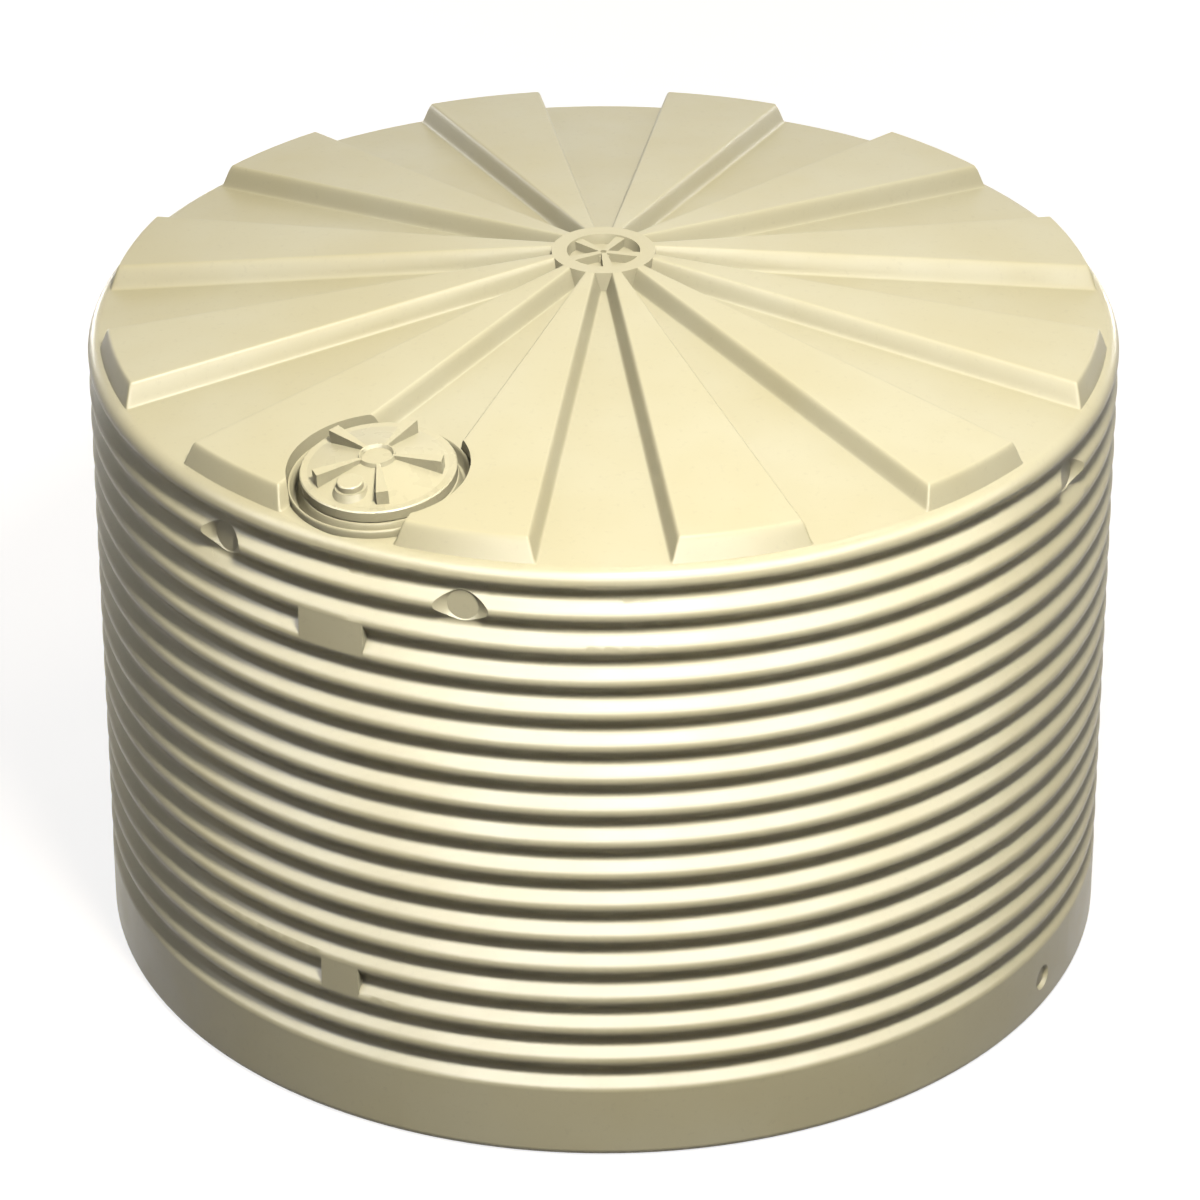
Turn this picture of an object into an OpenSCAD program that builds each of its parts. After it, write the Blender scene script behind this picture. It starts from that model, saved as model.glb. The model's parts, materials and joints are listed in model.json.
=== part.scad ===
// Round corrugated rainwater tank: moulded shell in wall segments,
// fluted cone roof with a centre hub, and an access lid on a raised seat.
// Origin at the centre of the base, +Z up, the access lid towards -Y and -X.

/* [Body] */
// radius over the crests of the wall
body_r = 1750; // [1500:10:2000]
// moulded wall thickness
wall_t = 9; // [6:0.5:12]
// depth of the wall corrugation, crest to valley
corr_d = 32; // [20:1:40]
// height of the plain band under the lowest valley
band_h = 259.6; // [240:0.2:280]
// radius of the corrugation's bends
corr_r = 30.5; // [24:0.5:34]
// height of the top crest
top_crest_z = 2188.4; // [2100:1:2300]
// radius of the bottom corner
foot_r = 28; // [15:1:45]
// radius of the rounded eaves
eave_r = 47.4; // [40:0.2:56]

/* [Roof] */
// rise of the low roof panels for each unit run
low_slope = 0.125; // [0.10:0.001:0.15]
// rise of the raised roof panels for each unit run
high_slope = 0.118; // [0.10:0.001:0.14]
// run of a raised panel's sloping outer end
panel_run = 25.5; // [16:0.5:40]
// height of a raised panel's outer end above the low panels
panel_rise = 78.4; // [64:0.4:92]
// half angle between a raised panel's two sides
panel_half_a = 7.25; // [6.5:0.05:8]
// offset of a raised panel's foot line from the radial line
panel_foot_off = 14.3; // [8:0.1:20]
// lean of a raised panel's sides
panel_lean = 15.6; // [8:0.1:25]

/* [Hub] */
// radius of the centre hub
hub_r = 176; // [160:1:190]
// radius of the hub's recess
hub_bore_r = 124; // [110:1:135]
// depth of the hub's recess
hub_bore_d = 36; // [20:1:50]
// radius of the small boss in the recess
hub_boss_r = 26; // [18:1:36]
// turn of the hub's ribs
hub_turn = 8; // [0:1:36]

/* [Lid] */
// distance of the lid's centre inside the wall's crests
lid_in = 319; // [312:1:340]
// radius of the lid
lid_r = 254; // [240:1:262]
// height of the lid's skirt
lid_h = 37; // [30:1:45]
// thickness of the lid
lid_t = 6; // [4:0.5:8]
// radius of the raised seat under the lid
seat_r = 297; // [285:1:300]
// height of the seat above the low panel
seat_h = 28; // [20:1:35]
// outer radius of the neck under the lid
neck_r = 222; // [200:1:228]
// gap under the lid's skirt
lid_gap = 5; // [5:0.5:8]
// height of the lid's centre collar above its rim
lid_crown = 52; // [44:1:60]
// distance of the lid's rib ends from its centre
rib_end = 216; // [205:1:222]
// radius of the round plug in the lid
plug_r = 43; // [35:1:50]
// distance of the plug from the lid's centre
plug_off = 163; // [150:1:170]

/* [Flats] */
// half angle of the upper rectangular flat
flat_hi_a = 3.95; // [3:0.05:5]
// half angle of the lower rectangular flat
flat_lo_a = 2.35; // [2:0.05:4]
// radius of the round flats' floor
round_floor_r = 52; // [40:1:60]
// radius of the round flats' mouth at the crest
round_mouth_r = 95; // [85:1:105]
// radius of the outlet recess's floor
outlet_floor_r = 34; // [28:1:40]
// radius of the outlet recess's mouth
outlet_mouth_r = 46; // [42:1:54]
// depth of the outlet recess
outlet_d = 12; // [8:1:16]
// height of the outlet recess
outlet_z = 132; // [110:1:150]

/* [Hidden] */
$fn = 180;
n_valley = 16;
t = wall_t;
slope_a = atan(low_slope);
corr_p = (top_crest_z - band_h) / n_valley;
bend_run = 2 * corr_r - corr_d;
bend_gap = sqrt(bend_run * bend_run + corr_p * corr_p / 4);
corr_line_a = atan2(corr_p / 2, bend_run) - acos(2 * corr_r / bend_gap);
ca = cos(corr_line_a);
sa = sin(corr_line_a);
low_crest_z = band_h;
r_in = body_r - corr_d - t - 10;
eave_cut_r = body_r - eave_r + eave_r * sin(slope_a);
eave_cut_z = top_crest_z + eave_r * cos(slope_a);
low_z0 = eave_cut_z + low_slope * eave_cut_r;
panel_top_r = eave_cut_r - panel_run;
panel_top_z = low_z0 - low_slope * panel_top_r + panel_rise;
high_z0 = panel_top_z + high_slope * panel_top_r;
roof_z = top_crest_z - 38;
hub_top_z = high_z0 - high_slope * hub_r;
panel_end_r = eave_cut_r - 0.3;
panel_end_z = low_z0 - low_slope * panel_end_r;
skin_z = t / cos(slope_a);
lid_az = -30;
lid_pos_r = body_r - lid_in;
lid_base_z = low_z0 - low_slope * lid_pos_r;
rim_z = seat_h + lid_gap + lid_h;
seat_gap = 0.3;
plug_foot = 27;
plug_bore_r = plug_r - 9;
round_d = corr_d + 2.5;

function crest_z(k) = top_crest_z - k * corr_p;
function valley_z(k) = top_crest_z - (k + 0.5) * corr_p;

// points of one wall profile, top to bottom, for bends of radius rc and rv
function zigzag(rc, rv) = [for (k = [0 : n_valley - 1]) for (p = [
    [body_r - corr_r + rc * ca, crest_z(k) - rc * sa],
    [body_r - corr_d + corr_r - rv * ca, valley_z(k) + rv * sa],
    [body_r - corr_d + corr_r - rv * ca, valley_z(k) - rv * sa],
    [body_r - corr_r + rc * ca, crest_z(k + 1) + rc * sa]]) p];

// area inside the wall profile, off = 0 for the outer face and t for the inner
module wall_area(off, r0) {
  rc = corr_r - off;
  rv = corr_r + off;
  re = eave_r - off;
  rf = foot_r - off;
  difference() {
    union() {
      polygon(concat(
        [[r0, off], [body_r - foot_r, off], [body_r - off, foot_r], [body_r - off, low_crest_z]],
        [for (i = [4 * n_valley - 1 : -1 : 0]) zigzag(rc, rv)[i]],
        [[body_r - eave_r, top_crest_z],
         [body_r - eave_r + re * sin(slope_a), top_crest_z + re * cos(slope_a)],
         [r0, low_z0 - low_slope * r0 - off / cos(slope_a)]]));
      for (k = [1 : n_valley]) translate([body_r - corr_r, crest_z(k)]) circle(r = rc);
      translate([body_r - corr_r, top_crest_z]) circle(r = rc);
      intersection() {
        translate([body_r - eave_r, top_crest_z]) circle(r = re);
        translate([body_r - eave_r, top_crest_z]) square([eave_r * 2, eave_r * 2]);
      }
      translate([body_r - foot_r, foot_r]) circle(r = rf);
    }
    for (k = [0 : n_valley - 1]) translate([body_r - corr_d + corr_r, valley_z(k)]) circle(r = rv);
  }
}

// area kept by a wall segment
module wall_zone() {
  polygon([[r_in, -1], [body_r + 20, -1], [body_r + 20, eave_cut_z + 10],
    [eave_cut_r, eave_cut_z + 10], [eave_cut_r, top_crest_z - 12], [r_in, top_crest_z - 24]]);
}

module at_az(az) rotate([0, 0, az - 90]) children();

module wall_ring(az, a) {
  at_az(az) rotate([0, 0, -a / 2]) rotate_extrude(angle = a) intersection() {
    wall_zone();
    difference() {
      wall_area(0, r_in - 60);
      wall_area(t, r_in - 70);
    }
  }
}

// plain moulded flat from crest to crest over valley k, with a plain flat back
module pad_piece(az, half_a, k) {
  at_az(az) rotate([0, 0, -half_a]) rotate_extrude(angle = 2 * half_a)
    translate([body_r - corr_d - t, crest_z(k + 1)]) square([corr_d + t, corr_p]);
}
module pad_window(az, half_a, k) {
  at_az(az) rotate([0, 0, -half_a]) rotate_extrude(angle = 2 * half_a)
    translate([r_in - 40, crest_z(k + 1)]) square([120, corr_p]);
}

// radial drill-shaped block of radius r at height z
module radial_hole(az, z, r) {
  at_az(az) translate([r_in - 60, 0, z]) rotate([0, 90, 0]) rotate([0, 0, 33]) cylinder(h = 160, r = r);
}

// cone of a round flat, floor radius fr at depth d, mouth radius mr at the crest
module round_cut(az, z, fr, mr, d, off) {
  k = (mr - fr) / d;
  grow = off * sqrt(1 + k * k);
  at_az(az) translate([body_r - d - off, 0, z]) rotate([0, 90, 0]) rotate([0, 0, 33])
    cylinder(h = d + off + 20, r1 = fr - k * off + grow, r2 = fr + k * (d + 20) + grow);
}
// profile of the wall from one crest to the second one below it
module crest_area(k, off) {
  rc = corr_r - off;
  rv = corr_r + off;
  difference() {
    union() {
      polygon(concat([[r_in - 50 - off, crest_z(k + 1) - off], [body_r - off, crest_z(k + 1) - off]],
        [for (i = [4 * k + 3 : -1 : 4 * k - 4]) zigzag(rc, rv)[i]],
        [[body_r - off, crest_z(k - 1) + off], [r_in - 50 - off, crest_z(k - 1) + off]]));
      for (i = [k - 1 : k + 1]) translate([body_r - corr_r, crest_z(i)]) circle(r = rc);
    }
    for (i = [k - 1 : k]) translate([body_r - corr_d + corr_r, valley_z(i)]) circle(r = rv);
  }
}
module crest_wall(az, off) {
  at_az(az) rotate([0, 0, -5 - off / 20]) rotate_extrude(angle = 10 + off / 10) crest_area(1, off);
}
module band_wall(az, off) {
  h = outlet_mouth_r + 16 + off;
  at_az(az) rotate([0, 0, -5 - off / 20]) rotate_extrude(angle = 10 + off / 10)
    translate([r_in - 50 - off, outlet_z - h]) square([body_r - r_in + 50, 2 * h]);
}

module lid_frame() {
  at_az(lid_az) translate([lid_pos_r, 0, lid_base_z]) rotate([0, slope_a, 0]) children();
}

module seat_zone(grow) {
  lid_frame() rotate([0, 0, 77]) translate([0, 0, -120]) cylinder(h = 320, r = seat_r + grow);
}

// plain wall segment, number i, 30 degrees wide
module wall_seg(i) wall_ring(-37.5 + 30 * (i - 1), 30);

// roof: area below the low cone and below the raised panel's cone
module low_area(off, ext) {
  r0 = hub_r - 4 - off;
  r1 = eave_cut_r + ext;
  polygon([[r0, roof_z - off], [r1, roof_z - off], [r1, low_z0 - low_slope * r1 - off / cos(slope_a)],
    [r0, low_z0 - low_slope * r0 - off / cos(slope_a)]]);
}
module high_area(off) {
  run = panel_end_r - panel_top_r;
  drop = panel_top_z - panel_end_z;
  len = sqrt(run * run + drop * drop);
  side = off * len / drop;
  tz = off / cos(atan(high_slope));
  k = run / drop;
  r0 = hub_r - 4 - off;
  r1 = (panel_top_r - side + k * tz - k * high_slope * panel_top_r) / (1 - k * high_slope);
  polygon([[r0, roof_z - off], [panel_end_r - side + k * (panel_end_z - roof_z + off), roof_z - off],
    [r1, high_z0 - high_slope * r1 - tz], [r0, high_z0 - high_slope * r0 - tz]]);
}
module side_space(s, off) {
  translate([0, 0, low_z0]) rotate([0, slope_a, 0]) rotate([0, 0, s * panel_half_a])
    translate([0, s * panel_foot_off * cos(panel_half_a), 0]) rotate([s * panel_lean, 0, 0])
    translate([-200, s > 0 ? -1200 - off : off, -500]) cube([2400, 1200, 1000]);
}
module panel_solid(off) {
  intersection() {
    rotate([0, 0, -14]) rotate_extrude(angle = 28, $fn = 360) high_area(off);
    side_space(1, off);
    side_space(-1, off);
  }
}
module roof_outer(az, off, ext) {
  at_az(az) {
    rotate([0, 0, -16 - off / 10]) rotate_extrude(angle = 32 + off / 5, $fn = 360) low_area(off, ext);
    panel_solid(off);
  }
}
module roof_cut(az) {
  at_az(az) rotate([0, 0, -15]) rotate_extrude(angle = 30, $fn = 360)
    polygon([[hub_r, roof_z + 5], [eave_cut_r, roof_z + 5],
      [eave_cut_r, roof_z + 450], [hub_r, roof_z + 450]]);
}
module roof_plain(az) {
  difference() {
    intersection() {
      roof_outer(az, 0, 5);
      roof_cut(az);
    }
    roof_outer(az, t, 8);
  }
}
module roof_by_lid(az) {
  difference() {
    roof_plain(az);
    seat_zone(0);
  }
}
module roof_panel(i) {
  az = -15 + 30 * (i - 1);
  if (i == 1 || i == 12) roof_by_lid(az);
  else roof_plain(az);
}

// raised ring that the lid sits on, with its wall down through the roof and eaves
module seat_ring() {
  lid_frame() rotate_extrude() polygon([[neck_r, seat_h - t], [seat_r - t, seat_h - t], [seat_r - t, -20],
    [seat_r, -20], [seat_r, seat_h], [neck_r, seat_h]]);
}
// wall that closes a raised panel where the seat's pocket is cut into it
module pocket_wall(az) {
  intersection() {
    difference() {
      at_az(az) panel_solid(t);
      at_az(az) rotate([0, 0, -17]) rotate_extrude(angle = 34, $fn = 360) low_area(0, 8);
    }
    lid_frame() rotate([0, 0, 77]) difference() {
      translate([0, 0, -60]) cylinder(h = 200, r = seat_r + t);
      translate([0, 0, -70]) cylinder(h = 220, r = seat_r);
    }
  }
}
module seat_cut() {
  intersection() {
    seat_zone(0);
    at_az(lid_az) rotate([0, 0, -20]) rotate_extrude(angle = 40)
      translate([lid_pos_r - 520, top_crest_z - 4]) square([1000, 400]);
  }
}

module floor_disc() {
  cylinder(h = t, r = r_in);
}
module hub_ring_shape() {
  low = low_z0 - low_slope * hub_r - skin_z;
  rotate_extrude() polygon([[hub_r, low], [hub_r, hub_top_z], [hub_bore_r, hub_top_z],
    [hub_bore_r - 6, hub_top_z - hub_bore_d], [hub_bore_r - 6, hub_top_z - hub_bore_d - t],
    [hub_bore_r - 6 + t, hub_top_z - hub_bore_d - t], [hub_bore_r + t, hub_top_z - t],
    [hub_r - t, hub_top_z - t], [hub_r - t, low]]);
}
module hub_cap_shape() {
  fz = hub_top_z - hub_bore_d;
  rr = hub_bore_r - 6;
  translate([0, 0, fz - t]) cylinder(h = t, r = rr);
  translate([0, 0, fz]) cylinder(h = 22, r1 = hub_boss_r + 3, r2 = hub_boss_r);
  intersection() {
    for (i = [0 : 4]) rotate([0, 0, -90 + hub_turn + 72 * i]) translate([0, 0, fz])
      linear_extrude(hub_bore_d - 6) polygon([[10, -9], [rr + 4, -17], [rr + 4, 17], [10, 9]]);
    translate([0, 0, fz - 1]) cylinder(h = hub_bore_d + 1, r1 = rr - 0.2, r2 = rr + 5.6);
  }
}

module neck() {
  lid_frame() difference() {
    translate([0, 0, seat_h - t - 12]) cylinder(h = rim_z - lid_t - seat_gap - seat_h + t + 12, r = neck_r);
    translate([0, 0, seat_h - t - 13]) cylinder(h = 200, r = neck_r - 10);
  }
}

module crown_area() {
  polygon([[0, rim_z - 1], [lid_r - 26, rim_z - 1], [lid_r - 26, rim_z],
    [62, rim_z + lid_crown - 14], [58, rim_z + lid_crown], [54, rim_z + lid_crown],
    [48, rim_z + lid_crown - 12], [0, rim_z + lid_crown - 12]]);
}
module crown_hollow() {
  polygon([[0, rim_z - lid_t - 2], [neck_r - 14, rim_z - lid_t - 2], [neck_r - 14, rim_z - 4],
    [62, rim_z + lid_crown - 22], [0, rim_z + lid_crown - 22]]);
}
module lid_shape() {
  difference() {
    union() {
      rotate_extrude() polygon([[0, rim_z - lid_t], [lid_r - lid_t, rim_z - lid_t],
        [lid_r - lid_t, rim_z - lid_h], [lid_r, rim_z - lid_h], [lid_r, rim_z - 4],
        [lid_r - 4, rim_z], [0, rim_z]]);
      rotate_extrude() crown_area();
      for (i = [0 : 4]) rotate([0, 0, 180 + 72 * i]) translate([0, 0, rim_z - 1])
        linear_extrude(lid_crown) polygon([[56, -6], [rib_end, -20], [rib_end, 20], [56, 6]]);
      translate([plug_off, 0, rim_z - 1]) cylinder(h = plug_foot + 1, r1 = plug_r + 20, r2 = plug_r + 8);
    }
    rotate_extrude() crown_hollow();
    translate([plug_off, 0, rim_z - 40]) cylinder(h = 100, r = plug_bore_r);
  }
}
module plug_shape() {
  translate([plug_off, 0, rim_z]) cylinder(h = plug_foot + 4, r = plug_bore_r - seat_gap);
  translate([plug_off, 0, rim_z + plug_foot + seat_gap]) rotate_extrude()
    polygon([[0, 0], [plug_r, 0], [plug_r, 19], [plug_r - 3, 22], [0, 22]]);
}

module wall_node(i) {
  difference() {
    wall_seg(i);
    if (i == 1) {
      seat_cut();
      radial_hole(-45, crest_z(1), round_mouth_r + 9);
      pad_window(-30, flat_hi_a, 2);
      pad_window(-30, flat_lo_a, 13);
    }
    if (i == 2) radial_hole(-15, crest_z(1), round_mouth_r + 9);
    if (i == 4) {
      radial_hole(62, crest_z(1), round_mouth_r + 9);
      radial_hole(60, outlet_z, outlet_mouth_r + 12);
    }
  }
}
// round moulded flat across one crest, with a plain flat back
module round_node(az) difference() {
  intersection() {
    radial_hole(az, crest_z(1), round_mouth_r + 9);
    crest_wall(az, 0);
  }
  round_cut(az, crest_z(1), round_floor_r, round_mouth_r, round_d, 0);
  at_az(az) translate([r_in - 120, -200, crest_z(1) - 200])
    cube([body_r - round_d - t - r_in + 120, 400, 400]);
}
module outlet_node(az) intersection() {
  radial_hole(az, outlet_z, outlet_mouth_r + 12);
  difference() {
    band_wall(az, 0);
    round_cut(az, outlet_z, outlet_floor_r, outlet_mouth_r, outlet_d, 0);
    difference() {
      band_wall(az, t);
      round_cut(az, outlet_z, outlet_floor_r, outlet_mouth_r, outlet_d, t);
    }
  }
}

poly = [0.93, 0.88, 0.72];

module floor() color(poly) floor_disc();
module wall_1() color(poly) wall_node(1);
module wall_2() color(poly) wall_node(2);
module wall_3() color(poly) wall_node(3);
module wall_4() color(poly) wall_node(4);
module wall_5() color(poly) wall_node(5);
module wall_6() color(poly) wall_node(6);
module wall_7() color(poly) wall_node(7);
module wall_8() color(poly) wall_node(8);
module wall_9() color(poly) wall_node(9);
module wall_10() color(poly) wall_node(10);
module wall_11() color(poly) wall_node(11);
module wall_12() color(poly) wall_node(12);
module round_flat_1() color(poly) round_node(-45);
module round_flat_2() color(poly) round_node(-15);
module round_flat_3() color(poly) round_node(62);
module outlet_flat() color(poly) outlet_node(60);
module pad_upper() color(poly) pad_piece(-30, flat_hi_a, 2);
module pad_lower() color(poly) pad_piece(-30, flat_lo_a, 13);
module roof_1() color(poly) roof_panel(1);
module roof_2() color(poly) roof_panel(2);
module roof_3() color(poly) roof_panel(3);
module roof_4() color(poly) roof_panel(4);
module roof_5() color(poly) roof_panel(5);
module roof_6() color(poly) roof_panel(6);
module roof_7() color(poly) roof_panel(7);
module roof_8() color(poly) roof_panel(8);
module roof_9() color(poly) roof_panel(9);
module roof_10() color(poly) roof_panel(10);
module roof_11() color(poly) roof_panel(11);
module roof_12() color(poly) roof_panel(12);
module hub_ring() color(poly) hub_ring_shape();
module hub_cap() color(poly) hub_cap_shape();
module lid_seat() color(poly) seat_ring();
module pocket_1() color(poly) pocket_wall(-45);
module pocket_2() color(poly) pocket_wall(-15);
module lid_neck() color(poly) neck();
module lid() color(poly) lid_frame() lid_shape();
module lid_plug() color(poly) lid_frame() plug_shape();

floor();
wall_1();
wall_2();
wall_3();
wall_4();
wall_5();
wall_6();
wall_7();
wall_8();
wall_9();
wall_10();
wall_11();
wall_12();
round_flat_1();
round_flat_2();
round_flat_3();
outlet_flat();
pad_upper();
pad_lower();
roof_1();
roof_2();
roof_3();
roof_4();
roof_5();
roof_6();
roof_7();
roof_8();
roof_9();
roof_10();
roof_11();
roof_12();
hub_ring();
hub_cap();
lid_seat();
pocket_1();
pocket_2();
lid_neck();
lid();
lid_plug();
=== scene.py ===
import json
import math

import bmesh
import bpy
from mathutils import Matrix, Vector

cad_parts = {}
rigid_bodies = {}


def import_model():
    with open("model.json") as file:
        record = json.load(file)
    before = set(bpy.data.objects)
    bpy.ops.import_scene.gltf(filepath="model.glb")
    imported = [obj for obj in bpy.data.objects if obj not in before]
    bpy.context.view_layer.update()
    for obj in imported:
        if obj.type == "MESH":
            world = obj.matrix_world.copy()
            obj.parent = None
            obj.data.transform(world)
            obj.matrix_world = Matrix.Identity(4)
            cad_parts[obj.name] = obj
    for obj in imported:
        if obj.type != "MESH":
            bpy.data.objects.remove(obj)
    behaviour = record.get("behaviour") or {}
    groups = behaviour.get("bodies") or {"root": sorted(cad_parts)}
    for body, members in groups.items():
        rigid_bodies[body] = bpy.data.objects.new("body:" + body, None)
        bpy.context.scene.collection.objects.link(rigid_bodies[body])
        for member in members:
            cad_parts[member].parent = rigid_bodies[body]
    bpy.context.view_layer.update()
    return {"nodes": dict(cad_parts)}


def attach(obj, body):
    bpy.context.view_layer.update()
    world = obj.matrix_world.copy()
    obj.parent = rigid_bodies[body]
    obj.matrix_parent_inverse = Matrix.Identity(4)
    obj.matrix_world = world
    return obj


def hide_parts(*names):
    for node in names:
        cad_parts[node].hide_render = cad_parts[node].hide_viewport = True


bl_info = {
    "name": "Corrugated Rainwater Tank",
    "version": (1, 0, 0),
    "blender": (4, 5, 0),
    "location": "3D View > Sidebar > Tank",
    "description": "Dresses a round moulded rainwater tank: cream plastic, lid, studio floor and light",
    "category": "Object",
}

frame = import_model()

IMAGE_PIXELS = 1200

# Pieces of the lid, pieces of the roof by the start of their names, and the bevels of the moulded edges
LID_NODES = ("lid", "lid_plug")
ROOF_NAMES = ("roof_", "hub_", "pocket_", "seat_")
ROUNDED = {"lid": 0.003, "lid_plug": 0.003, "hub_ring": 0.006, "hub_cap": 0.003}
BEVEL_STEPS = 3
BEVEL_ANGLE = math.radians(32.0)
SMOOTH_ANGLE = math.radians(40.0)

# Sizes of the moulded shell, in metres and as the frame's own model has them
WALL_R = 1.750
SHELL_T = 0.009
TOP_CREST_Z = 2.1884
EAVE_R = 0.0474
LOW_SLOPE = 0.125
HIGH_SLOPE = 0.118
TILT = math.atan(LOW_SLOPE)
EAVE_CUT_R = WALL_R - EAVE_R + EAVE_R * math.sin(TILT)
LOW_Z0 = TOP_CREST_Z + EAVE_R * math.cos(TILT) + LOW_SLOPE * EAVE_CUT_R
PANEL_TOP_R = EAVE_CUT_R - 0.0255
PANEL_TOP_Z = LOW_Z0 - LOW_SLOPE * PANEL_TOP_R + 0.0784
PANEL_END_R = EAVE_CUT_R - 0.0003
PANEL_END_Z = LOW_Z0 - LOW_SLOPE * PANEL_END_R
HIGH_Z0 = PANEL_TOP_Z + HIGH_SLOPE * PANEL_TOP_R
PANELS = 12
FIRST_PANEL_AZ = math.radians(-15.0)
PANEL_HALF_A = math.radians(7.25)
PANEL_FOOT = 0.0143
PANEL_LEAN = math.radians(15.6)
HUB_R = 0.176

# Rounding of the panels: at their outer ends, along their upper edges and along their feet
END_ROUND = 0.024
EDGE_ROUND = 0.030
FOOT_ROUND = 0.022

# The lid's axis, and the raised seat that it closes on
LID_AZ = math.radians(-30.0)
LID_POS_R = WALL_R - 0.319
SEAT_R = 0.297
SEAT_STEPS = 144
POCKET_STEPS = 180
POCKET_FLOOR = -0.12
POCKET_TOP = 0.20

# Section of the lid's seat, from its inner foot over the gutter and lip to its underside: radius and height
SEAT_PROFILE = [
    (0.2140, 0.0100), (0.2140, 0.0278), (0.2520, 0.0278), (0.2555, 0.0262), (0.2580, 0.0200),
    (0.2600, 0.0120), (0.2665, -0.0180), (0.2690, -0.0225), (0.2735, -0.0240), (0.2780, -0.0225),
    (0.2805, -0.0180), (0.2865, 0.0180), (0.2885, 0.0240), (0.2912, 0.0272), (0.2940, 0.0272),
    (0.2962, 0.0245), (0.29695, 0.0190), (0.29695, -0.0170), (0.2900, -0.0310), (0.2600, -0.0340),
    (0.2480, 0.0100)]

# Where the lamps hang, what they face and how wide they are
KEY_TARGET = (0.0, -0.8, 1.5)
BACK_PLACES = {"right_light": (5.6, 7.8, 2.0), "left_light": (-5.6, 7.8, 2.0)}
BACK_TARGET = (0.0, 0.0, 1.2)
BACK_WIDTH = 1.8
TOP_PLACE = (2.0, 0.9, 9.0)
TOP_TARGET = (0.0, 0.0, 2.3)
TOP_WIDTH = 2.5

# Panels that show only in the plastic's shine: name, lit pieces, place, share of the power, width and height
SHINE_TARGET = (0.0, 0.0, 1.4)
SHINE_PANELS = (
    ("wall_shine_front", "wall", (1.2, -9.6, 8.0), 1.0, 19.0, 9.5),
    ("wall_shine_right", "wall", (10.4, -3.6, 7.6), 0.2, 8.0, 8.0),
    ("wall_shine_left", "wall", (-9.8, -4.6, 7.6), 0.2, 8.0, 8.0),
    ("roof_shine_high", "roof", (1.2, -9.6, 8.0), 0.25, 19.0, 9.5),
    ("roof_shine_low", "roof", (0.6, -10.4, 2.9), 0.22, 12.0, 4.2))

# The floor: its half width, how far it lies under the tank, and its colours
FLOOR_HALF = 60.0
FLOOR_DROP = 0.001
FLOOR_PAINT = (0.12, 0.13, 0.14, 1.0)
FLOOR_SEEN = (0.42, 0.36, 0.3, 1.0)
FLOOR_GLOW = 0.86
WHITE = (1.0, 1.0, 1.0, 1.0)


def linear(colour):
    """Turns an sRGB colour from 0 to 255 into linear values with alpha."""
    out = []
    for value in colour:
        part = value / 255.0
        out.append(part / 12.92 if part <= 0.04045 else ((part + 0.055) / 1.055) ** 2.4)
    return tuple(out) + (1.0,)


class TankColours(bpy.types.PropertyGroup):
    """Colours and gloss of the tank's plastic."""
    plastic: bpy.props.FloatVectorProperty(
        name="Plastic", description="Main colour of the moulded cream plastic", subtype="COLOR",
        size=4, min=0.0, max=1.0, default=linear((240, 229, 188)))
    plastic_warm: bpy.props.FloatVectorProperty(
        name="Warm patches", description="Colour of the plastic's slightly warmer cloudy patches",
        subtype="COLOR", size=4, min=0.0, max=1.0, default=linear((235, 222, 176)))
    dust: bpy.props.FloatVectorProperty(
        name="Dust", description="Colour of the thin dust that settles on the plastic",
        subtype="COLOR", size=4, min=0.0, max=1.0, default=linear((206, 192, 152)))
    roughness: bpy.props.FloatProperty(
        name="Roughness", description="How dull the plastic is", subtype="FACTOR",
        min=0.0, max=1.0, default=0.34)
    lid_shift: bpy.props.FloatProperty(
        name="Lid's roughness", description="How much duller the lid is than the shell",
        subtype="FACTOR", min=-0.2, max=0.2, default=-0.06)
    grain: bpy.props.FloatProperty(
        name="Grain height", description="Height of the fine moulded grain", unit="LENGTH",
        min=0.0, max=0.002, default=0.0003)


class TankStage(bpy.types.PropertyGroup):
    """Camera, floor and light of the studio."""
    camera_distance: bpy.props.FloatProperty(
        name="Camera distance", description="Distance of the camera in front of the tank's axis",
        unit="LENGTH", default=16.754)
    camera_height: bpy.props.FloatProperty(
        name="Camera height", description="Height of the camera above the ground",
        unit="LENGTH", default=10.769)
    camera_tilt: bpy.props.FloatProperty(
        name="Camera tilt", description="How far the camera looks down", subtype="ANGLE",
        default=math.radians(29.911))
    camera_lens: bpy.props.FloatProperty(
        name="Lens", description="Focal length of the lens in millimetres", default=165.68)
    centre_pixel: bpy.props.FloatProperty(
        name="Centre pixel", description="Pixel column that the tank's axis falls on", default=603.5)
    key_power: bpy.props.FloatProperty(
        name="Key light", description="Power of the round lamp above the front", default=680.0)
    key_place: bpy.props.FloatVectorProperty(
        name="Key place", description="Where the key lamp hangs", subtype="XYZ", size=3,
        default=(1.1, -5.8, 9.0))
    key_width: bpy.props.FloatProperty(
        name="Key width", description="Width of the key lamp", unit="LENGTH", default=1.6)
    back_power: bpy.props.FloatProperty(
        name="Back lights", description="Power of each of the two round lamps behind the tank",
        default=90.0)
    top_power: bpy.props.FloatProperty(
        name="Top light", description="Power of the round lamp above the roof", default=90.0)
    shine_power: bpy.props.FloatProperty(
        name="Shine", description="Power of the wide front panel that shows in the plastic's shine",
        default=6800.0)
    world_strength: bpy.props.FloatProperty(
        name="Sky light", description="Strength of the even light from all round", default=0.09)


def new_material(name):
    """An empty node material with a Principled shader on its output."""
    material = bpy.data.materials.new(name)
    material.use_nodes = True
    nodes = material.node_tree.nodes
    nodes.clear()
    output = nodes.new("ShaderNodeOutputMaterial")
    shader = nodes.new("ShaderNodeBsdfPrincipled")
    material.node_tree.links.new(shader.outputs["BSDF"], output.inputs["Surface"])
    return material, shader


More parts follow.
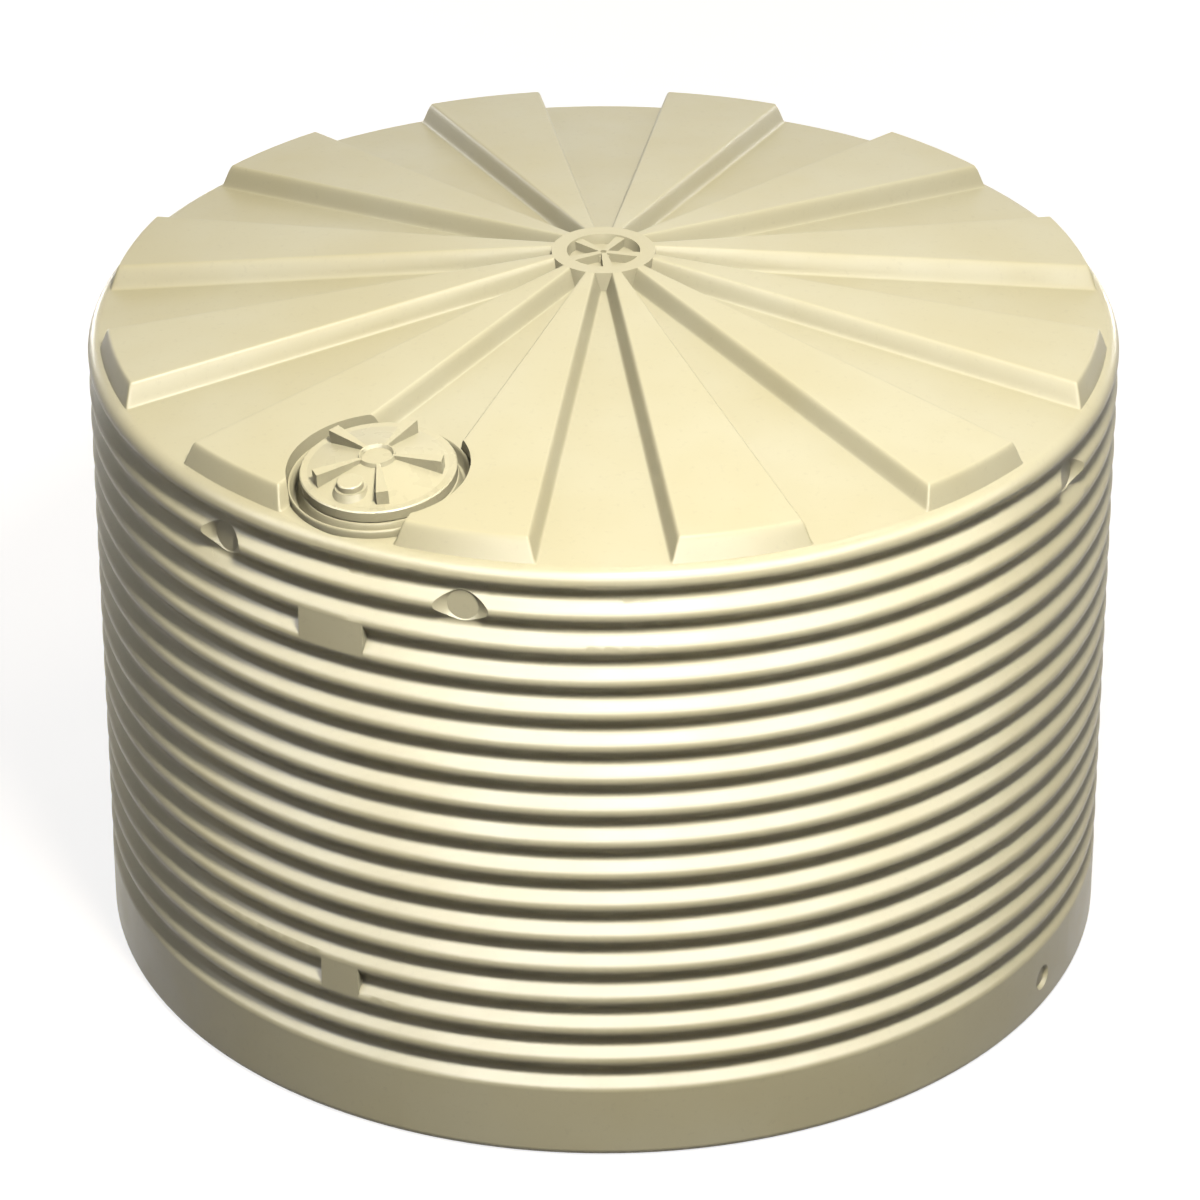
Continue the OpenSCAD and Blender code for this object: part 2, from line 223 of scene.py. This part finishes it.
def noise(tree, coordinates, scale, detail, roughness):
    """Value of a noise texture at the given coordinates."""
    node = tree.nodes.new("ShaderNodeTexNoise")
    node.inputs["Scale"].default_value = scale
    node.inputs["Detail"].default_value = detail
    node.inputs["Roughness"].default_value = roughness
    tree.links.new(coordinates, node.inputs["Vector"])
    return node.outputs["Fac"]


def ramp(tree, value, low, high, low_value=0.0, high_value=1.0):
    """Maps a value between low and high to low_value and high_value."""
    node = tree.nodes.new("ShaderNodeMapRange")
    node.inputs["From Min"].default_value = low
    node.inputs["From Max"].default_value = high
    node.inputs["To Min"].default_value = low_value
    node.inputs["To Max"].default_value = high_value
    tree.links.new(value, node.inputs["Value"])
    return node.outputs["Result"]


def mix_colour(tree, factor, first, second):
    """Mixes two colours, each a plain value or another node's output."""
    node = tree.nodes.new("ShaderNodeMix")
    node.data_type = "RGBA"
    tree.links.new(factor, node.inputs["Factor"])
    for socket, value in ((node.inputs[6], first), (node.inputs[7], second)):
        if isinstance(value, bpy.types.NodeSocket):
            tree.links.new(value, socket)
        else:
            socket.default_value = value
    return node.outputs[2]


def tank_plastic(name, colours, roughness):
    """Cream rotation-moulded plastic with cloudy colour, fine grain and a trace of dust."""
    material, shader = new_material(name)
    tree = material.node_tree
    place = tree.nodes.new("ShaderNodeTexCoord").outputs["Object"]
    clouds = ramp(tree, noise(tree, place, 1.7, 3.0, 0.5), 0.35, 0.65)
    cloudy = mix_colour(tree, clouds, colours.plastic, colours.plastic_warm)
    specks = ramp(tree, noise(tree, place, 46.0, 4.0, 0.62), 0.58, 0.78, 0.0, 0.22)
    dusty = mix_colour(tree, specks, cloudy, colours.dust)
    tree.links.new(dusty, shader.inputs["Base Color"])
    patches = noise(tree, place, 9.0, 3.0, 0.55)
    dull = ramp(tree, patches, 0.3, 0.7, roughness - 0.05, roughness + 0.06)
    tree.links.new(dull, shader.inputs["Roughness"])
    shader.inputs["IOR"].default_value = 1.5
    shader.inputs["Specular IOR Level"].default_value = 0.4
    bump = tree.nodes.new("ShaderNodeBump")
    bump.inputs["Strength"].default_value = 0.35
    bump.inputs["Distance"].default_value = colours.grain
    tree.links.new(noise(tree, place, 260.0, 3.0, 0.6), bump.inputs["Height"])
    tree.links.new(bump.outputs["Normal"], shader.inputs["Normal"])
    return material


def shell_plastic(context):
    """The shell's plastic, made once and shared by its pieces."""
    made = bpy.data.materials.get("shell_cream")
    colours = context.scene.tank_colours
    return made or tank_plastic("shell_cream", colours, colours.roughness)


def set_material(piece, material):
    """Gives the whole piece one material."""
    piece.data.materials.clear()
    piece.data.materials.append(material)


def smooth_min(a, b, k):
    """The lower of two heights, rounded over where they lie within k of each other."""
    h = max(k - abs(a - b), 0.0) / k
    return min(a, b) - h * h * k / 4


def smooth_max(a, b, k):
    """The higher of two heights, rounded over in the same way."""
    return -smooth_min(-a, -b, k)


def low_height(r):
    """Height of the low panels' cone."""
    return LOW_Z0 - LOW_SLOPE * r


def panel_side(u, v):
    """Height of a raised panel's leaning side above point u along and v across its axis."""
    steep = math.cos(PANEL_HALF_A) / math.tan(PANEL_LEAN)
    spread = math.tan(PANEL_HALF_A)
    top = steep * (spread * u * math.cos(TILT) + PANEL_FOOT - abs(v)) - u * math.sin(TILT)
    return LOW_Z0 + top / (math.cos(TILT) + steep * spread * math.sin(TILT))


def panel_cap(r):
    """Height of a raised panel over radius r without its sides: the top cone and the sloping outer end."""
    end_slope = (PANEL_TOP_Z - PANEL_END_Z) / (PANEL_END_R - PANEL_TOP_R)
    end = PANEL_END_Z + (PANEL_END_R - r) * end_slope
    return smooth_min(HIGH_Z0 - HIGH_SLOPE * r, end, END_ROUND)


def edge_scale(r):
    """Share of the full rounding at radius r, because the edges are finer near the hub."""
    return min(1.0, 0.25 + r / 0.9)


def roof_height(r, turn):
    """Height of the roof at radius r and at the given turn from the nearest raised panel's axis."""
    size = edge_scale(r)
    side = panel_side(r * math.cos(turn), r * math.sin(turn))
    panel = smooth_min(panel_cap(r), side, EDGE_ROUND * size)
    foot = min(FOOT_ROUND * size, 0.0006 + 3.0 * (EAVE_CUT_R - r))
    return smooth_max(low_height(r), panel, foot)


def foot_width(r):
    """Half width of a raised panel at its foot."""
    return math.tan(PANEL_HALF_A) * r + PANEL_FOOT


def edge_width(r):
    """Half width of a raised panel at its upper edge."""
    rise = max(panel_cap(r) - low_height(r), 0.0)
    return foot_width(r) - rise * math.tan(PANEL_LEAN) / math.cos(PANEL_HALF_A)


def roof_turns(r):
    """Turns of the roof's columns at radius r across one panel, gathered at its edges."""
    size = edge_scale(r) * min(1.0, r / 0.5)
    edge = math.asin(min(edge_width(r) / r, 0.25))
    foot = math.asin(min(foot_width(r) / r, 0.255))
    limit = math.pi / PANELS
    half = [edge * part for part in (0.0, 0.35, 0.65, 0.85)]
    inner = edge - 0.011 * size / r
    half += [inner + (edge - inner) * part for part in (0.0, 0.3, 0.6, 0.85)]
    half += [edge + (foot - edge) * part for part in (0.0, 0.12, 0.3, 0.7, 0.88, 1.0)]
    outer = min(foot + 0.009 * size / r, foot + (limit - foot) * 0.5)
    half += [foot + (outer - foot) * part for part in (0.2, 0.45, 0.75, 1.0)]
    half += [outer + (limit - outer) * part for part in (0.33, 0.66)]
    return [-turn for turn in reversed(half[1:])] + half + [limit]


def roof_radii():
    """Radii of the roof's rows, from the hub to the eaves, gathered at the panels' outer ends."""
    top_steps = (-0.022, -0.014, -0.009, -0.005, -0.002, 0.0, 0.002, 0.004, 0.007)
    eave_steps = (0.0135, 0.009, 0.006, 0.004, 0.0025, 0.0015, 0.0007, 0.0)
    rows = [HUB_R + 0.0002, 0.19, 0.21, 0.24, 0.28]
    rows += [0.33 + 0.08 * i for i in range(17)]
    rows += [PANEL_TOP_R + step for step in top_steps]
    rows += [EAVE_CUT_R - step for step in eave_steps]
    return rows


def at(r, azimuth, z):
    """Point at radius r, height z and azimuth measured from -Y towards +X."""
    return (r * math.sin(azimuth), -r * math.cos(azimuth), z)


def faces_piece(name, points, faces):
    """A smooth-shaded piece from its points and faces."""
    mesh = bpy.data.meshes.new(name)
    mesh.from_pydata(points, [], faces)
    mesh.validate()
    for face in mesh.polygons:
        face.use_smooth = True
    piece = bpy.data.objects.new(name, mesh)
    bpy.context.scene.collection.objects.link(piece)
    return piece


def ring_piece(name, rows):
    """A piece from closed rows of points, each row as long as the next."""
    width = len(rows[0])
    points = [point for row in rows for point in row]
    faces = []
    for i in range(len(rows) - 1):
        for j in range(width):
            right = (j + 1) % width
            faces.append((i * width + j, (i + 1) * width + j, (i + 1) * width + right, i * width + right))
    return faces_piece(name, points, faces)


def apply_modifiers(piece):
    """Turns the piece's modifiers into mesh and removes them."""
    bpy.context.view_layer.update()
    graph = bpy.context.evaluated_depsgraph_get()
    mesh = bpy.data.meshes.new_from_object(piece.evaluated_get(graph))
    piece.modifiers.clear()
    piece.data = mesh


def thicken(piece, thickness):
    """Gives a sheet its wall thickness, inwards."""
    modifier = piece.modifiers.new("wall", "SOLIDIFY")
    modifier.thickness = thickness
    modifier.offset = -1.0
    modifier.use_even_offset = False
    apply_modifiers(piece)


def cut_away(piece, cutter):
    """Takes the cutter's space out of the piece, and removes the cutter."""
    modifier = piece.modifiers.new("pocket", "BOOLEAN")
    modifier.operation = "DIFFERENCE"
    modifier.solver = "EXACT"
    modifier.object = cutter
    apply_modifiers(piece)
    bpy.data.objects.remove(cutter)


def smooth_by_angle(piece, limit):
    """Smooth shading that keeps edges sharper than the angle."""
    shape = bmesh.new()
    shape.from_mesh(piece.data)
    for face in shape.faces:
        face.smooth = True
    for edge in shape.edges:
        edge.smooth = len(edge.link_faces) == 2 and edge.calc_face_angle(0.0) < limit
    shape.to_mesh(piece.data)
    shape.free()


def round_lid(height, radius, steps):
    """A ring of points round the lid's axis, at a height above the low panel under it."""
    base = Vector(at(LID_POS_R, LID_AZ, low_height(LID_POS_R)))
    out = Vector(at(math.cos(TILT), LID_AZ, -math.sin(TILT)))
    up = Vector(at(math.sin(TILT), LID_AZ, math.cos(TILT)))
    side = up.cross(out)
    row = []
    for i in range(steps):
        turn = 2 * math.pi * i / steps
        row.append(tuple(base + up * height + (out * math.cos(turn) + side * math.sin(turn)) * radius))
    return row


def pocket_block():
    """Block round the lid's axis, as wide as the raised seat, that cuts its pocket."""
    steps = POCKET_STEPS
    points = round_lid(POCKET_FLOOR, SEAT_R, steps) + round_lid(POCKET_TOP, SEAT_R, steps)
    faces = [(i, (i + 1) % steps, steps + (i + 1) % steps, steps + i) for i in range(steps)]
    faces.append(tuple(reversed(range(steps))))
    faces.append(tuple(range(steps, 2 * steps)))
    return faces_piece("pocket_cutter", points, faces)


def finish_piece(context, piece, *nodes):
    """Gives a moulded piece its plastic and its place on the tank, instead of the named nodes."""
    smooth_by_angle(piece, SMOOTH_ANGLE)
    set_material(piece, shell_plastic(context))
    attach(piece, "tank")
    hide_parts(*nodes)


def add_lamp(name, place, target, power, width, height=0.0):
    """An area lamp that faces its target: round, or a rectangle where a height is given."""
    data = bpy.data.lights.new(name, "AREA")
    data.shape = "RECTANGLE" if height else "DISK"
    data.size = width
    if height:
        data.size_y = height
    data.energy = power
    lamp = bpy.data.objects.new(name, data)
    lamp.location = place
    lamp.rotation_euler = (Vector(place) - Vector(target)).to_track_quat("Z", "Y").to_euler()
    lamp.visible_camera = False
    bpy.context.scene.collection.objects.link(lamp)
    return lamp


def shade(tree, kind, colour, strength=None):
    """Output of a plain shader node with its colour and, where it has one, its strength."""
    node = tree.nodes.new(kind)
    node.inputs["Color"].default_value = colour
    if strength is not None:
        node.inputs["Strength"].default_value = strength
    return node.outputs[0]


def show_by_ray(tree, lit, seen, output):
    """The camera, reflections and clear pieces see one shader, and the light on pieces is the other's."""
    path = tree.nodes.new("ShaderNodeLightPath")
    total = path.outputs["Is Camera Ray"]
    for name in ("Is Glossy Ray", "Is Transmission Ray"):
        either = tree.nodes.new("ShaderNodeMath")
        either.operation = "MAXIMUM"
        tree.links.new(total, either.inputs[0])
        tree.links.new(path.outputs[name], either.inputs[1])
        total = either.outputs["Value"]
    mix = tree.nodes.new("ShaderNodeMixShader")
    tree.links.new(total, mix.inputs["Fac"])
    tree.links.new(lit, mix.inputs[1])
    tree.links.new(seen, mix.inputs[2])
    tree.links.new(mix.outputs["Shader"], output.inputs["Surface"])


class TANK_OT_make_stage(bpy.types.Operator):
    """Make the camera, the white floor, the lamps and the sky"""
    bl_idname = "tank.make_stage"
    bl_label = "Make the stage"

    def execute(self, context):
        scene = context.scene
        stage = scene.tank_stage
        self.make_camera(scene, stage)
        add_lamp("key_light", stage.key_place, KEY_TARGET, stage.key_power, stage.key_width)
        for name, place in BACK_PLACES.items():
            add_lamp(name, place, BACK_TARGET, stage.back_power, BACK_WIDTH)
        add_lamp("top_light", TOP_PLACE, TOP_TARGET, stage.top_power, TOP_WIDTH)
        scene.cycles.diffuse_bounces = 0
        self.make_sky(scene, stage)
        self.make_floor(scene)
        scene.view_settings.view_transform = "Standard"
        return {"FINISHED"}

    def make_camera(self, scene, stage):
        data = bpy.data.cameras.new("camera")
        data.sensor_width = 36.0
        data.lens = stage.camera_lens
        data.shift_x = -(stage.centre_pixel - IMAGE_PIXELS / 2) / IMAGE_PIXELS
        data.clip_end = 400.0
        camera = bpy.data.objects.new("camera", data)
        camera.location = (0.0, -stage.camera_distance, stage.camera_height)
        camera.rotation_euler = (math.radians(90.0) - stage.camera_tilt, 0.0, 0.0)
        scene.collection.objects.link(camera)
        scene.camera = camera

    def make_sky(self, scene, stage):
        world = bpy.data.worlds.new("sky")
        world.use_nodes = True
        tree = world.node_tree
        tree.nodes.clear()
        output = tree.nodes.new("ShaderNodeOutputWorld")
        light = shade(tree, "ShaderNodeBackground", WHITE, stage.world_strength)
        white = shade(tree, "ShaderNodeBackground", WHITE, 1.0)
        show_by_ray(tree, light, white, output)
        scene.world = world

    def make_floor(self, scene):
        half = FLOOR_HALF
        corners = [(-half, -half, 0.0), (half, -half, 0.0), (half, half, 0.0), (-half, half, 0.0)]
        floor = faces_piece("floor_sheet", corners, [(0, 1, 2, 3)])
        floor.location = (0.0, 0.0, -FLOOR_DROP)
        material = bpy.data.materials.new("floor_white")
        material.use_nodes = True
        tree = material.node_tree
        tree.nodes.clear()
        output = tree.nodes.new("ShaderNodeOutputMaterial")
        paint = shade(tree, "ShaderNodeBsdfDiffuse", FLOOR_PAINT)
        seen = tree.nodes.new("ShaderNodeAddShader")
        tree.links.new(shade(tree, "ShaderNodeBsdfDiffuse", FLOOR_SEEN), seen.inputs[0])
        tree.links.new(shade(tree, "ShaderNodeEmission", WHITE, FLOOR_GLOW), seen.inputs[1])
        show_by_ray(tree, paint, seen.outputs["Shader"], output)
        set_material(floor, material)


class TANK_OT_mould_roof(bpy.types.Operator):
    """Mould the fluted roof as one skin with rounded edges, with the access lid's pocket cut into it"""
    bl_idname = "tank.mould_roof"
    bl_label = "Mould the roof"

    def execute(self, context):
        rows = []
        for r in roof_radii():
            turns = roof_turns(r)
            row = []
            for i in range(PANELS):
                axis = FIRST_PANEL_AZ + 2 * math.pi / PANELS * i
                row += [at(r, axis + turn, roof_height(r, turn)) for turn in turns]
            rows.append(row)
        roof = ring_piece("roof_skin", rows)
        thicken(roof, SHELL_T)
        cut_away(roof, pocket_block())
        finish_piece(context, roof, *["roof_%d" % i for i in range(1, PANELS + 1)])
        return {"FINISHED"}


class TANK_OT_form_seat(bpy.types.Operator):
    """Form the raised seat round the lid's neck, with its gutter and rounded lip"""
    bl_idname = "tank.form_seat"
    bl_label = "Form the lid's seat"

    def execute(self, context):
        section = SEAT_PROFILE + SEAT_PROFILE[:1]
        rows = [round_lid(height, radius, SEAT_STEPS) for radius, height in section]
        seat = ring_piece("seat_gutter", rows)
        finish_piece(context, seat, "lid_seat")
        return {"FINISHED"}


class TANK_OT_round_edges(bpy.types.Operator):
    """Round the moulded edges of the lid, its plug and the hub"""
    bl_idname = "tank.round_edges"
    bl_label = "Round the edges"

    def execute(self, context):
        for name, radius in ROUNDED.items():
            modifier = frame["nodes"][name].modifiers.new("rounded", "BEVEL")
            modifier.width = radius
            modifier.segments = BEVEL_STEPS
            modifier.limit_method = "ANGLE"
            modifier.angle_limit = BEVEL_ANGLE
            modifier.use_clamp_overlap = True
            modifier.harden_normals = True
        return {"FINISHED"}


class TANK_OT_finish_shell(bpy.types.Operator):
    """Give the moulded shell its cream plastic"""
    bl_idname = "tank.finish_shell"
    bl_label = "Finish the shell"

    def execute(self, context):
        for name, node in frame["nodes"].items():
            if name not in LID_NODES:
                set_material(node, shell_plastic(context))
        return {"FINISHED"}


class TANK_OT_finish_lid(bpy.types.Operator):
    """Give the lid and its plug their slightly smoother plastic"""
    bl_idname = "tank.finish_lid"
    bl_label = "Finish the lid"

    def execute(self, context):
        colours = context.scene.tank_colours
        material = tank_plastic("lid_cream", colours, colours.roughness + colours.lid_shift)
        for name in LID_NODES:
            set_material(frame["nodes"][name], material)
        return {"FINISHED"}


class TANK_OT_aim_shine(bpy.types.Operator):
    """Light the plastic's shine with wide panels, stronger on the wall and the lid than on the roof"""
    bl_idname = "tank.aim_shine"
    bl_label = "Aim the shine"

    def execute(self, context):
        lit = {kind: bpy.data.collections.new(kind + "_pieces") for kind in ("roof", "wall")}
        for piece in context.scene.objects:
            if piece.type == "MESH":
                lit["roof" if piece.name.startswith(ROOF_NAMES) else "wall"].objects.link(piece)
        power = context.scene.tank_stage.shine_power
        for name, kind, place, share, width, height in SHINE_PANELS:
            panel = add_lamp(name, place, SHINE_TARGET, power * share, width, height)
            panel.visible_diffuse = False
            panel.light_linking.receiver_collection = lit[kind]
        return {"FINISHED"}


class TANK_PT_panel(bpy.types.Panel):
    """Sidebar panel with the tank's colours, stage and steps"""
    bl_idname = "TANK_PT_panel"
    bl_label = "Rainwater Tank"
    bl_space_type = "VIEW_3D"
    bl_region_type = "UI"
    bl_category = "Tank"

    def draw(self, context):
        layout = self.layout
        for group in (context.scene.tank_colours, context.scene.tank_stage):
            box = layout.box()
            for name in group.__annotations__:
                box.prop(group, name)
        for operator in OPERATORS:
            layout.operator(operator.bl_idname)


GROUPS = (TankColours, TankStage)
OPERATORS = (
    TANK_OT_make_stage, TANK_OT_mould_roof, TANK_OT_form_seat, TANK_OT_round_edges, TANK_OT_finish_shell,
    TANK_OT_finish_lid, TANK_OT_aim_shine)
CLASSES = GROUPS + OPERATORS + (TANK_PT_panel,)


def register():
    for cls in CLASSES:
        bpy.utils.register_class(cls)
    bpy.types.Scene.tank_colours = bpy.props.PointerProperty(type=TankColours)
    bpy.types.Scene.tank_stage = bpy.props.PointerProperty(type=TankStage)


def unregister():
    del bpy.types.Scene.tank_stage
    del bpy.types.Scene.tank_colours
    for cls in reversed(CLASSES):
        bpy.utils.unregister_class(cls)


def main():
    register()
    bpy.ops.tank.make_stage()
    bpy.ops.tank.mould_roof()
    bpy.ops.tank.form_seat()
    bpy.ops.tank.round_edges()
    bpy.ops.tank.finish_shell()
    bpy.ops.tank.finish_lid()
    bpy.ops.tank.aim_shine()


if __name__ == "__main__":
    main()
